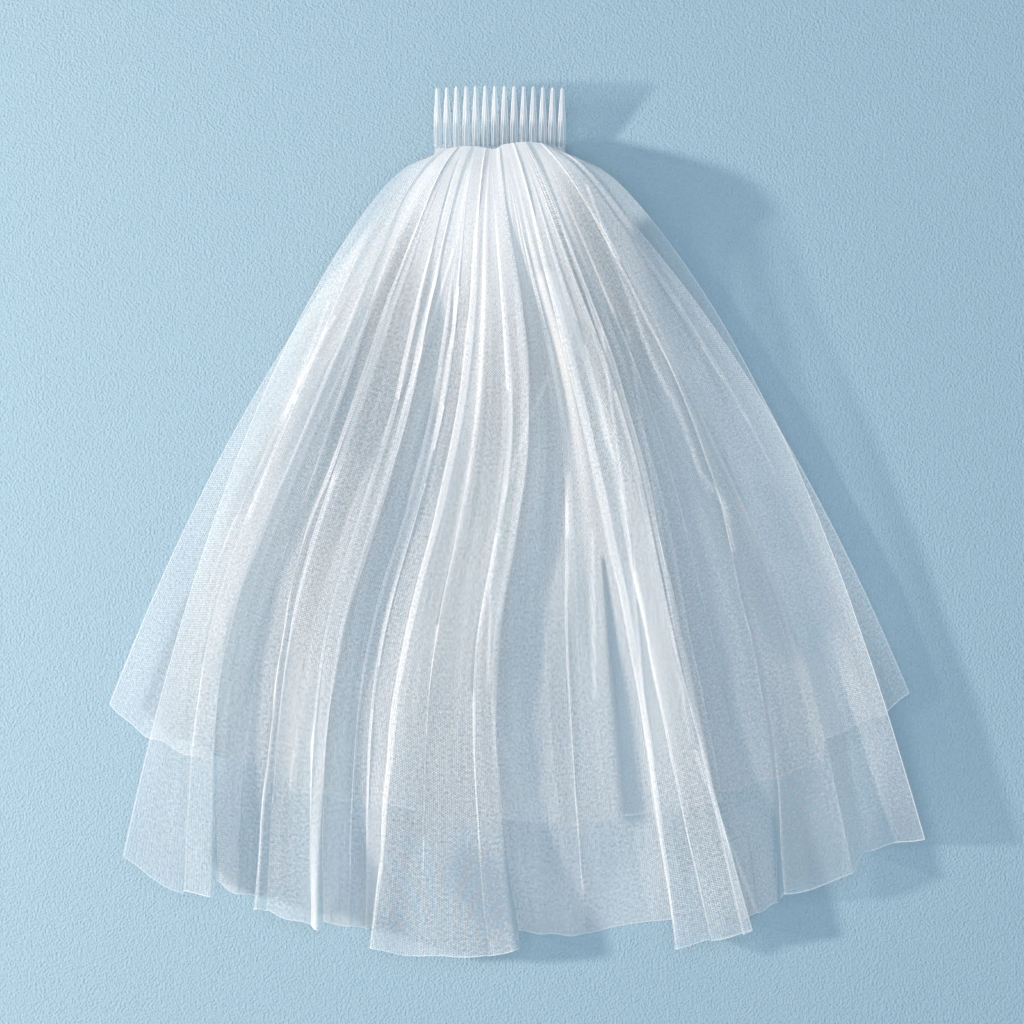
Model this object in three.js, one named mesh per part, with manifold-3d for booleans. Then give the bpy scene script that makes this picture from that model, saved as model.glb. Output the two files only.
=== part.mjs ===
// A bridal veil on a hair comb, laid out flat: two tiers of soft tulle gathered onto a clear plastic comb.
// Millimetres, +Z up, floor at z = 0. The teeth point to +Y and the hems lie towards -Y.
import * as THREE from 'three';
import { mergeVertices } from 'three/addons/utils/BufferGeometryUtils.js';
import Module from 'manifold-3d';

const wasm = await Module();
wasm.setup();

// Comb, in millimetres and degrees.
const combWidth = 75;
const combTilt = 31;
const toothCount = 14;
const toothLength = 35;
const toothBend = 5;
const toothWidth = 4.5;
const toothTipWidth = 1.6;
const toothThickness = 2.8;
const toothTipThickness = 1.1;
const tipBow = 1.4;
const spineHeight = 8;
const spineThickness = 3.8;
const spineCorner = 1;

// Tulle, in millimetres.
const tulleWall = 1;
const foldRadius = 2.2;
const headOverhang = 1.5;
const headCover = 1;
const headArch = 6.5;
const longLength = 464;
const longHemWidth = 453;
const longSway = 13.8;
const longLoft = 15;
const shortLength = 389;
const shortHemWidth = 458;
const shortSway = 5.5;
const shortLoft = 14;
const shortHeadRise = 8;

// Room between pieces that touch.
const clearance = 0.3;

// How a tier widens from its head to its hem: a small number flares out early, a large one evenly.
const longFlare = 1.25;
const shortFlare = 2.6;

// Shares of the loft and of the width: how far a raised panel sags between two folds,
// and the largest fold radius where the folds stand close.
const panelSag = 0.15;
const gatherRadiusShare = 0.068;

// The least share of a thread's length that still runs towards the hem, however much it spreads or rises.
const leastRun = 0.2;

// Rows of the long tier, from the gathered head (along 0) to the hem (along 1).
// loft is the height of the raised panels over the low ones, as a share of longLoft.
// carry is 1 where the low panels lie on the short tier and 0 where they lie on the floor.
const longRows = [
  { along: 0, loft: 0.3, carry: 1 },
  { along: 0.02, loft: 0.5, carry: 1 },
  { along: 0.05, loft: 1, carry: 1 },
  { along: 0.09, loft: 1.55, carry: 1 },
  { along: 0.14, loft: 1.65, carry: 1 },
  { along: 0.2, loft: 1.45, carry: 1 },
  { along: 0.28, loft: 1.2, carry: 1 },
  { along: 0.37, loft: 1.05, carry: 1 },
  { along: 0.46, loft: 1, carry: 1 },
  { along: 0.55, loft: 0.95, carry: 1 },
  { along: 0.64, loft: 0.95, carry: 1 },
  { along: 0.73, loft: 0.9, carry: 1 },
  { along: 0.82, loft: 0.95, carry: 1 },
  { along: 0.9, loft: 1.25, carry: 0.7 },
  { along: 1, loft: 2.05, carry: 0 },
];

// Rows of the short tier. Its head rises by shortHeadRise, and from there by these shares of shortLoft.
const shortRows = [
  { along: 0, loft: shortHeadRise / shortLoft, carry: 0 },
  { along: 0.025, loft: shortHeadRise / shortLoft, carry: 0 },
  { along: 0.05, loft: 0.8, carry: 0 },
  { along: 0.1, loft: 1, carry: 0 },
  { along: 0.16, loft: 1, carry: 0 },
  { along: 0.23, loft: 0.97, carry: 0 },
  { along: 0.31, loft: 0.95, carry: 0 },
  { along: 0.4, loft: 0.92, carry: 0 },
  { along: 0.49, loft: 0.9, carry: 0 },
  { along: 0.58, loft: 0.9, carry: 0 },
  { along: 0.67, loft: 0.9, carry: 0 },
  { along: 0.76, loft: 0.9, carry: 0 },
  { along: 0.88, loft: 0.88, carry: 0 },
  { along: 1, loft: 0.85, carry: 0 },
];

// Folds of the long tier, from its left edge to its right edge: each one's middle and lap at three places
// down the cloth, as shares of the tier's half width there. A lap below 0 is an open step, with no cloth
// folded over. reach is the length of the panel to the fold's right, as a share of the tier's length.
const longFolds = [
  { upper: -0.8, lower: -0.87, hem: -0.78, upperLap: -0.03, lowerLap: 0.01, hemLap: 0.06, reach: 0.985 },
  { upper: -0.64, lower: -0.72, hem: -0.67, upperLap: 0.05, lowerLap: 0.1, hemLap: 0.015, reach: 0.99 },
  { upper: -0.42, lower: -0.55, hem: -0.51, upperLap: 0, lowerLap: 0, hemLap: 0.03, reach: 1 },
  { upper: -0.2, lower: -0.345, hem: -0.385, upperLap: 0.06, lowerLap: 0.056, hemLap: 0.1, reach: 1 },
  { upper: 0.09, lower: -0.07, hem: -0.015, upperLap: -0.02, lowerLap: 0, hemLap: 0.03, reach: 1 },
  { upper: 0.31, lower: 0.368, hem: 0.375, upperLap: 0.18, lowerLap: 0.086, hemLap: 0.01, reach: 1.02 },
  { upper: 0.49, lower: 0.51, hem: 0.55, upperLap: 0, lowerLap: 0.01, hemLap: 0.08, reach: 1.02 },
  { upper: 0.72, lower: 0.72, hem: 0.65, upperLap: 0.05, lowerLap: 0.05, hemLap: 0.02, reach: 0.99 },
  { upper: 0.87, lower: 0.87, hem: 0.85, upperLap: -0.05, lowerLap: -0.05, hemLap: -0.05, reach: 0.99 },
];

// Folds of the short tier, in the same columns.
const shortFolds = [
  { upper: -0.74, lower: -0.76, hem: -0.76, upperLap: 0, lowerLap: 0.04, hemLap: 0.05, reach: 0.95 },
  { upper: -0.46, lower: -0.56, hem: -0.56, upperLap: 0.06, lowerLap: 0.1, hemLap: 0.1, reach: 0.98 },
  { upper: -0.2, lower: -0.25, hem: -0.24, upperLap: 0, lowerLap: 0.03, hemLap: 0.03, reach: 1 },
  { upper: 0, lower: -0.06, hem: -0.02, upperLap: 0, lowerLap: 0.02, hemLap: 0.02, reach: 1 },
  { upper: 0.18, lower: 0.13, hem: 0.13, upperLap: 0, lowerLap: 0.02, hemLap: 0.03, reach: 1 },
  { upper: 0.36, lower: 0.33, hem: 0.29, upperLap: 0.04, lowerLap: 0.05, hemLap: 0.05, reach: 1 },
  { upper: 0.58, lower: 0.56, hem: 0.53, upperLap: 0, lowerLap: 0.05, hemLap: 0.08, reach: 0.98 },
  { upper: 0.8, lower: 0.8, hem: 0.79, upperLap: 0, lowerLap: 0.04, hemLap: 0.05, reach: 0.95 },
];

// Where the head and the three columns of the fold tables lie along the cloth.
const foldStops = [0, 0.3, 0.65, 1];

// Folds at the head, where they stand evenly side by side: the share of its width that they take up,
// and the lap of each one as a share of its own width there, below 0 for open steps.
const headSpan = 0.9;
const headLap = -0.4;

// Sections of a tooth, from its root (along 0) to its tip (along 1). width and thickness are shares of
// the way from the tip's size to the root's, below 0 on the rounded end. facet is the flat front's share
// of the width.
const toothSections = [
  { along: 0, width: 1, thickness: 1, facet: 0.62 },
  { along: 0.17, width: 1, thickness: 0.92, facet: 0.5 },
  { along: 0.34, width: 1, thickness: 0.82, facet: 0.38 },
  { along: 0.5, width: 0.84, thickness: 0.7, facet: 0.24 },
  { along: 0.63, width: 0.66, thickness: 0.58, facet: 0.1 },
  { along: 0.82, width: 0.34, thickness: 0.3, facet: 0.1 },
  { along: 0.97, width: 0.05, thickness: 0.05, facet: 0.2 },
  { along: 1, width: -0.2, thickness: -0.2, facet: 0.3 },
];

// Shares of a tooth's thickness: depth of the bevels beside its front, and its eased back corners.
const toothBevel = 0.5;
const toothEasing = 0.14;

// How deep a tooth's root runs into the spine.
const rootDepth = 2;

// The lowest edge of the tilted spine lies on the short tier's gathered head.
const tilt = THREE.MathUtils.degToRad(combTilt);
const shortHeadTop = tulleWall + shortHeadRise;
const combRootHeight = shortHeadTop + clearance + spineHeight * Math.sin(tilt)
  + spineThickness / 2 * Math.cos(tilt);

// Height of the comb's upper face over a point y in front of the tooth roots.
function combTop(y) {
  return combRootHeight + y * Math.tan(tilt) + spineThickness / 2 / Math.cos(tilt);
}

// Smooth curve through the values at the stops.
function smoothThrough(stops, values, at) {
  const last = stops.length - 1;
  const slopes = values.map((value, i) => {
    const before = Math.max(i - 1, 0);
    const after = Math.min(i + 1, last);
    return (values[after] - values[before]) / (stops[after] - stops[before]);
  });
  const next = Math.max(stops.findIndex((stop) => stop >= at), 1);
  const start = next - 1;
  const step = stops[next] - stops[start];
  const t = (at - stops[start]) / step;
  const toNext = t * t * (3 - 2 * t);
  const leaving = t * (1 - t) * (1 - t) * step * slopes[start];
  const arriving = t * t * (t - 1) * step * slopes[next];
  return values[start] + (values[next] - values[start]) * toNext + leaving + arriving;
}

// Half width of a tier at a share of its length.
function halfWidth(tier, along) {
  const spread = along * (1 + tier.flare) / (along + tier.flare);
  return tier.headHalf + (tier.hemHalf - tier.headHalf) * spread;
}

// One fold across the cloth, as eight points from its left to its right: the panel at level from runs to
// the right side of the lap, turns back under or over itself and goes on to the right at level to.
function foldPoints(centre, lap, radius, from, to) {
  const right = centre + lap / 2;
  const left = centre - lap / 2;
  const turn = radius * THREE.MathUtils.clamp(lap / (4 * radius), -1, 1);
  const rise = radius * Math.sign(to - from);
  return [
    [right - 3 * radius, from],
    [right - radius, from],
    [right, from + rise],
    [right - turn, from + 2 * rise],
    [left + turn, to - 2 * rise],
    [left, to - rise],
    [left + radius, to],
    [left + 3 * radius, to],
  ];
}

// Level of the low panels of a tier, as the middle of the cloth.
function lowLevel(tier, row, index) {
  if (index < tier.headLevels.length) {
    return tier.headLevels[index];
  }
  return tulleWall / 2 + row.carry * (shortLoft + tulleWall + clearance);
}

// Points across one row of a tier, as [x, z]: its left edge, every fold with the middle of the panel
// before it, the last panel's middle and the right edge. The edges are raised.
function rowPoints(tier, row, index) {
  const half = halfWidth(tier, row.along);
  const low = lowLevel(tier, row, index);
  const high = low + tier.loft * row.loft;
  const count = tier.folds.length;
  const radius = Math.min(foldRadius, gatherRadiusShare * 2 * half / count);
  const sag = panelSag * (high - low);
  const points = [[-half, high]];
  let raised = true;
  tier.folds.forEach((fold, i) => {
    const headCentre = headSpan * ((2 * i + 1) / count - 1);
    const centres = [headCentre, fold.upper, fold.lower, fold.hem];
    const laps = [2 * headLap / count, fold.upperLap, fold.lowerLap, fold.hemLap];
    const centre = half * smoothThrough(foldStops, centres, row.along);
    const lap = half * smoothThrough(foldStops, laps, row.along);
    const from = raised ? high : low;
    const to = raised ? low : high;
    const across = foldPoints(centre, lap, radius, from, to);
    points.push([(points.at(-1)[0] + across[0][0]) / 2, raised ? from - sag : from], ...across);
    raised = !raised;
  });
  const [lastX, lastZ] = points.at(-1);
  points.push([(lastX + half) / 2, (lastZ + high) / 2 - sag], [half, high]);
  return points.map(([x, z]) => [x + tier.sway * row.along, z]);
}

// Length of the cloth at each point of a row, as a share of the tier's: each panel has its own reach, and
// a fold has the panel before it for its first four points and the panel after it for its last four.
function columnReaches(tier) {
  const reaches = [tier.edgeReach[0]];
  let panel = tier.firstReach;
  for (const fold of tier.folds) {
    reaches.push(panel, panel, panel, panel, panel, fold.reach, fold.reach, fold.reach, fold.reach);
    panel = fold.reach;
  }
  return [...reaches, panel, tier.edgeReach[1]];
}

// Middle surface of a tier. Every thread down the cloth keeps its length: where it spreads sideways or rises,
// it reaches less far towards the hem.
function tierSurface(tier) {
  const rows = [];
  const reaches = columnReaches(tier);
  tier.rows.forEach((row, index) => {
    const points = rowPoints(tier, row, index);
    if (index === 0) {
      rows.push(points.map(([x, z]) => {
        const y = tier.headEdge - headArch * (x / tier.headHalf) ** 2;
        return new THREE.Vector3(x, y, z);
      }));
      return;
    }
    const share = row.along - tier.rows[index - 1].along;
    const above = rows.at(-1);
    rows.push(points.map(([x, z], column) => {
      const step = tier.length * reaches[column] * share;
      const sideways = x - above[column].x;
      const upwards = z - above[column].z;
      const down = Math.sqrt(Math.max(step ** 2 - sideways ** 2 - upwards ** 2, (leastRun * step) ** 2));
      return new THREE.Vector3(x, above[column].y - down, z);
    }));
  });
  return rows;
}

// Direction that the cloth faces at one point of its middle surface.
function clothNormal(rows, i, j) {
  const across = rows[i][Math.min(j + 1, rows[i].length - 1)].clone().sub(rows[i][Math.max(j - 1, 0)]);
  const down = rows[Math.min(i + 1, rows.length - 1)][j].clone().sub(rows[Math.max(i - 1, 0)][j]);
  return down.cross(across).normalize();
}

// Closed wall of a given thickness around a middle surface, with rims along its four edges.
function clothShell(rows, wall) {
  const rowCount = rows.length;
  const columnCount = rows[0].length;
  const positions = [];
  for (const side of [wall / 2, -wall / 2]) {
    rows.forEach((row, i) => {
      row.forEach((point, j) => {
        positions.push(...point.clone().addScaledVector(clothNormal(rows, i, j), side));
      });
    });
  }
  const upper = (i, j) => i * columnCount + j;
  const lower = (i, j) => rowCount * columnCount + upper(i, j);
  const indices = [];
  const addQuad = (a, b, c, d) => indices.push(a, b, c, a, c, d);
  for (let i = 0; i < rowCount - 1; i += 1) {
    for (let j = 0; j < columnCount - 1; j += 1) {
      addQuad(upper(i, j), upper(i + 1, j), upper(i + 1, j + 1), upper(i, j + 1));
      addQuad(lower(i, j), lower(i, j + 1), lower(i + 1, j + 1), lower(i + 1, j));
    }
    const end = columnCount - 1;
    addQuad(upper(i, 0), lower(i, 0), lower(i + 1, 0), upper(i + 1, 0));
    addQuad(upper(i, end), upper(i + 1, end), lower(i + 1, end), lower(i, end));
  }
  for (let j = 0; j < columnCount - 1; j += 1) {
    const end = rowCount - 1;
    addQuad(upper(0, j), upper(0, j + 1), lower(0, j + 1), lower(0, j));
    addQuad(upper(end, j), lower(end, j), lower(end, j + 1), upper(end, j + 1));
  }
  const geometry = new THREE.BufferGeometry();
  geometry.setAttribute('position', new THREE.Float32BufferAttribute(positions, 3));
  geometry.setIndex(indices);
  return geometry;
}

// Point of the comb: across it, along a tooth from the root line (below 0 in the spine), and off its
// mid-plane.
// The spine is straight, and the teeth bow down from it.
function combPoint(across, along, off) {
  const bowRadius = toothLength / THREE.MathUtils.degToRad(toothBend);
  const angle = tilt - Math.max(along, 0) / bowRadius;
  const straight = Math.min(along, 0);
  const y = straight * Math.cos(tilt) + bowRadius * (Math.sin(tilt) - Math.sin(angle));
  const z = straight * Math.sin(tilt) + bowRadius * (Math.cos(angle) - Math.cos(tilt));
  return new THREE.Vector3(across, y - off * Math.sin(angle), combRootHeight + z + off * Math.cos(angle));
}

function toManifold(geometry) {
  const bare = geometry.clone();
  bare.deleteAttribute('normal');
  bare.deleteAttribute('uv');
  const merged = mergeVertices(bare, 1e-4);
  const vertProperties = new Float32Array(merged.attributes.position.array);
  const triVerts = new Uint32Array(merged.index.array);
  return new wasm.Manifold(new wasm.Mesh({ numProp: 3, vertProperties, triVerts }));
}

function fromManifold(solid) {
  const mesh = solid.getMesh();
  const geometry = new THREE.BufferGeometry();
  geometry.setAttribute('position', new THREE.BufferAttribute(new Float32Array(mesh.vertProperties), 3));
  geometry.setIndex(new THREE.BufferAttribute(new Uint32Array(mesh.triVerts), 1));
  return geometry;
}

// Spine: a flat bar with rounded corners, on the tilted plane of the comb.
function makeSpine() {
  const half = combWidth / 2;
  const corner = spineCorner;
  const outline = new THREE.Shape();
  outline.absarc(half - corner, -corner, corner, 0, Math.PI / 2);
  outline.absarc(-half + corner, -corner, corner, Math.PI / 2, Math.PI);
  outline.absarc(-half + corner, corner - spineHeight, corner, Math.PI, Math.PI * 1.5);
  outline.absarc(half - corner, corner - spineHeight, corner, Math.PI * 1.5, Math.PI * 2);
  const settings = { depth: spineThickness, bevelEnabled: false, curveSegments: 3 };
  const spine = new THREE.ExtrudeGeometry(outline, settings);
  const position = spine.attributes.position;
  for (let i = 0; i < position.count; i += 1) {
    const off = position.getZ(i) - spineThickness / 2;
    const point = combPoint(position.getX(i), position.getY(i), off);
    position.setXYZ(i, point.x, point.y, point.z);
  }
  return spine;
}

// Outline of a tooth's section, eight corners as [across, off]: a flat back, and a front that narrows
// by two bevels to its facet.
function toothOutline(section) {
  const width = toothTipWidth + (toothWidth - toothTipWidth) * section.width;
  const thickness = toothTipThickness + (toothThickness - toothTipThickness) * section.thickness;
  const side = width / 2;
  const facet = side * section.facet;
  const back = -thickness / 2;
  const front = thickness / 2;
  const easing = thickness * toothEasing;
  const shoulder = front - thickness * toothBevel;
  return [
    [-side + easing, back], [side - easing, back], [side, back + easing], [side, shoulder],
    [facet, front], [-facet, front], [-side, shoulder], [-side, back + easing],
  ];
}

// One tooth, lofted through its sections, from inside the spine to its tip.
function makeTooth(centre, length) {
  const root = { ...toothSections[0], along: -rootDepth / length };
  const sections = [root, ...toothSections].map((section) => {
    const along = section.along * length;
    return toothOutline(section).map(([across, off]) => combPoint(centre + across, along, off));
  });
  const corners = sections[0].length;
  const positions = sections.flat().flatMap((point) => [...point]);
  const indices = [];
  for (let i = 0; i < sections.length - 1; i += 1) {
    for (let j = 0; j < corners; j += 1) {
      const a = i * corners + j;
      const b = i * corners + (j + 1) % corners;
      indices.push(a, b + corners, b, a, a + corners, b + corners);
    }
  }
  const tip = (sections.length - 1) * corners;
  for (let j = 1; j < corners - 1; j += 1) {
    indices.push(0, j, j + 1, tip, tip + j + 1, tip + j);
  }
  const geometry = new THREE.BufferGeometry();
  geometry.setAttribute('position', new THREE.Float32BufferAttribute(positions, 3));
  geometry.setIndex(indices);
  return geometry;
}

// Comb: spine and teeth in one body, with the middle teeth a little longer.
function makeComb() {
  const pitch = (combWidth - toothWidth) / (toothCount - 1);
  let comb = toManifold(makeSpine());
  for (let i = 0; i < toothCount; i += 1) {
    const centre = toothWidth / 2 - combWidth / 2 + pitch * i;
    const bow = tipBow * (1 - (2 * centre / combWidth) ** 2);
    comb = comb.add(toManifold(makeTooth(centre, toothLength + bow)));
  }
  const plastic = new THREE.MeshStandardMaterial({ color: 0xe6eef2, roughness: 0.1, metalness: 0 });
  return new THREE.Mesh(fromManifold(comb), plastic);
}

const headHalf = combWidth / 2 + headOverhang;

function makeLongTier() {
  const tier = {
    length: longLength,
    headHalf,
    hemHalf: longHemWidth / 2,
    flare: longFlare,
    sway: longSway,
    loft: longLoft,
    rows: longRows,
    folds: longFolds,
    firstReach: 0.985,
    edgeReach: [0.965, 0.97],
    headEdge: headCover,
    headLevels: [headCover, 0].map((y) => combTop(y) + clearance + tulleWall / 2),
  };
  const tulle = new THREE.MeshStandardMaterial({ color: 0xf3f5f7, roughness: 0.85, metalness: 0 });
  return new THREE.Mesh(clothShell(tierSurface(tier), tulleWall), tulle);
}

function makeShortTier() {
  const tier = {
    length: shortLength,
    headHalf,
    hemHalf: shortHemWidth / 2,
    flare: shortFlare,
    sway: shortSway,
    loft: shortLoft,
    rows: shortRows,
    folds: shortFolds,
    firstReach: 0.95,
    edgeReach: [0.94, 0.94],
    headEdge: 0,
    headLevels: [],
  };
  const tulle = new THREE.MeshStandardMaterial({ color: 0xeef2f6, roughness: 0.85, metalness: 0 });
  return new THREE.Mesh(clothShell(tierSurface(tier), tulleWall), tulle);
}

const group = new THREE.Group();
const pieces = { comb: makeComb(), long_tier: makeLongTier(), short_tier: makeShortTier() };
for (const [name, piece] of Object.entries(pieces)) {
  piece.name = name;
  group.add(piece);
}

// The origin is under the middle of the whole object, on the floor.
const box = new THREE.Box3().setFromObject(group);
group.position.set(-(box.min.x + box.max.x) / 2, -(box.min.y + box.max.y) / 2, -box.min.z);

export default group;
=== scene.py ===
# A bridal veil on a clear hair comb, laid out flat and seen from straight above.
# Tables and sizes are in millimetres, and everything that reaches a mesh is in metres.
from math import cos, radians, sin

import bpy
import numpy as np
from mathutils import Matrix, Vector


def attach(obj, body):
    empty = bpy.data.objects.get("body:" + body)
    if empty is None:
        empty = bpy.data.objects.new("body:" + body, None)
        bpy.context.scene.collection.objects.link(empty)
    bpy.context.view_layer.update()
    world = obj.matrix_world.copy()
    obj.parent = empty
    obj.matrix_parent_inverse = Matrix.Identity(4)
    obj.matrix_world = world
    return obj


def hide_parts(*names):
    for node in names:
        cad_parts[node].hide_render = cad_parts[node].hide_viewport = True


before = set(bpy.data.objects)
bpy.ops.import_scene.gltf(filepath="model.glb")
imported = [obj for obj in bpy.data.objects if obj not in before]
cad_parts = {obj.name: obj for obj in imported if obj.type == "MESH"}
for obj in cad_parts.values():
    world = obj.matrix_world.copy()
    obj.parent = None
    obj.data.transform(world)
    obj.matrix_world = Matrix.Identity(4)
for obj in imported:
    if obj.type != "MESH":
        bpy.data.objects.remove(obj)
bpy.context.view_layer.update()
print("frame loaded")

mm = 0.001
place = {"combX": -8.581, "rootY": 214.149}  # middle of the comb's root line, in the frame

view = {
    "at": (-1.66, 5.75, 1395.0),  # straight above the picture's middle
    "lens": 85.0,
    "sensor": 36.0,
}


def smoothThrough(stops, values, at):
    # Cubic through the values at the stops, with the slope at each stop taken from its two neighbours.
    stops = np.array(stops, float)
    values = np.array(values, float).reshape(len(stops), -1)
    before = np.maximum(np.arange(len(stops)) - 1, 0)
    after = np.minimum(np.arange(len(stops)) + 1, len(stops) - 1)
    slopes = (values[after] - values[before]) / (stops[after] - stops[before])[:, None]
    start = np.clip(np.searchsorted(stops, at, side="left") - 1, 0, len(stops) - 2)
    step = (stops[start + 1] - stops[start])[:, None]
    t = (np.asarray(at)[:, None] - stops[start][:, None]) / step
    blend = t * t * (3 - 2 * t)
    leaving = t * (1 - t) ** 2 * step * slopes[start]
    arriving = t * t * (t - 1) * step * slopes[start + 1]
    return values[start] + (values[start + 1] - values[start]) * blend + leaving + arriving


def ease(x):
    # 0 below 0, 1 above 1, and an S between: 3x^2 - 2x^3.
    x = np.clip(x, 0, 1)
    return x * x * (3 - 2 * x)


def splineWeights(counts):
    # Weights of a uniform cubic B-spline's control points at each sample. counts gives the samples of
    # each stretch between two control points. The ends are held by mirrored helper points.
    counts = np.asarray(counts)
    last = len(counts)
    stretch = np.append(np.repeat(np.arange(last), counts), last - 1)
    first = np.append(np.repeat(np.cumsum(counts) - counts, counts), 0)
    t = (np.arange(len(stretch)) - first) / counts[stretch]
    t[-1] = 1
    w = np.stack([
        (1 - t) ** 3,
        3 * t ** 3 - 6 * t ** 2 + 4,
        -3 * t ** 3 + 3 * t ** 2 + 3 * t + 1,
        t ** 3,
    ], 1) / 6
    matrix = np.zeros((len(t), last + 3))
    np.add.at(matrix, (np.arange(len(t))[:, None], stretch[:, None] + np.arange(4)), w)
    matrix[:, 1] += 2 * matrix[:, 0]
    matrix[:, 2] -= matrix[:, 0]
    matrix[:, -2] += 2 * matrix[:, -1]
    matrix[:, -3] -= matrix[:, -1]
    return matrix[:, 1:-1]


def waveNoise(rng, x, y, length, count=14):
    # Smooth noise of about -1 to 1: the mean of cosine waves of about one wavelength in random directions.
    angle = rng.uniform(0, 2 * np.pi, count)
    k = 2 * np.pi / (length * rng.uniform(0.7, 1.5, count))
    phase = rng.uniform(0, 2 * np.pi, count)
    total = sum(np.cos(k[i] * (x * cos(angle[i]) + y * sin(angle[i])) + phase[i]) for i in range(count))
    return total / np.sqrt(count / 2) / 1.6


def gridFaces(rows, columns, ringed=False):
    # Quads between neighbouring grid points, facing up where rows run to -Y and columns to +X.
    i, j = np.meshgrid(np.arange(rows - 1), np.arange(columns if ringed else columns - 1), indexing="ij")
    right = (j + 1) % columns
    here, below = i * columns, (i + 1) * columns
    quads = np.stack([here + j, below + j, below + right, here + right], -1)
    return quads.reshape(-1, 4)


def makeObject(name, points, faces, smooth=True):
    # A mesh object at the origin, from points in millimetres.
    mesh = bpy.data.meshes.new(name)
    mesh.from_pydata(np.asarray(points).reshape(-1, 3) * mm, [], faces)
    mesh.polygons.foreach_set("use_smooth", np.full(len(mesh.polygons), smooth))
    mesh.update()
    made = bpy.data.objects.new(name, mesh)
    bpy.context.scene.collection.objects.link(made)
    return made


# Shared by both tiers. Places down the cloth run from 0 at the head to 1 at the hem.
tulle = {
    "rowBias": 0.5,  # how much closer the rows stand at the head
    "leastRun": 0.2,  # least share of a thread's step that runs down the veil
    "headSpan": 0.9,  # share of the head that the folds are spread over
    "headLap": -0.4,  # lap of a fold at the head, as a share of its spacing: below 0 it stands open
    "foldStops": [0, 0.3, 0.65, 1],  # where a fold's head, upper, lower and hem values stand
    "foldSettle": 0.25,  # how far down the folds wander, and pleats drop, in full
    "settle": 0.3,  # the same for laps, gathers and buckles
    "wander": ((1.3, 0.8), (2.9, 0.35), (6.3, 0.12)),  # sideways waves down a fold, and their width
    "panelSag": 0.15,  # how far a raised panel hangs between its folds, as a share of its rise
    "shutPleat": 0.05,  # share of a pleat's lap and drop that it has at the head
    "pleatSwing": 0.03,  # how far a pleat strays, as a share of its panel's width
    "pleatStays": 0.6,  # chance that the cloth doesn't come back up after a pleat
    # waves across the cloth, their height, and how far down they fade
    "gathers": ((96, 0.1, 0.15), (57, 0.2, 0.3), (33, 0.36, 0.6), (19, 0.6, 1.2)),
    "buckles": ((1.0, 0.6, 120), (0.45, 0.8, 45)),  # height, stretch down the cloth, length
    "ragged": ((2.2, 80), (0.9, 24)),  # depth and length of the waves along the cut edge
    "raggedFrom": 0.7,  # how far down the cut edge begins to pull on the cloth
    "creaseRise": 0.5,  # how high a crease of strength 1 stands
    "lowest": 0.3,  # the cloth's least height over the floor
    "gatherRange": (0.6, 2),  # least and most flat cloth that a bit of the surface stands for
    "crest": 0.15,  # extra threads at the turn of a fold
    "steepCover": 0.45,  # the steep sides of folds stay sheer: their share of the threads
    "streaks": ((0.6, 0.05, 6), (0.4, 0.08, 15)),  # strength, stretch down the cloth, length
    "headSides": 1.1,  # layers of cloth at the sides of the head
    "headReach": 0.17,  # how far down the bunched head shows
    "headMiddle": -6,  # its middle and half width, across from the comb's middle
    "headSpread": 44,
}

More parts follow.
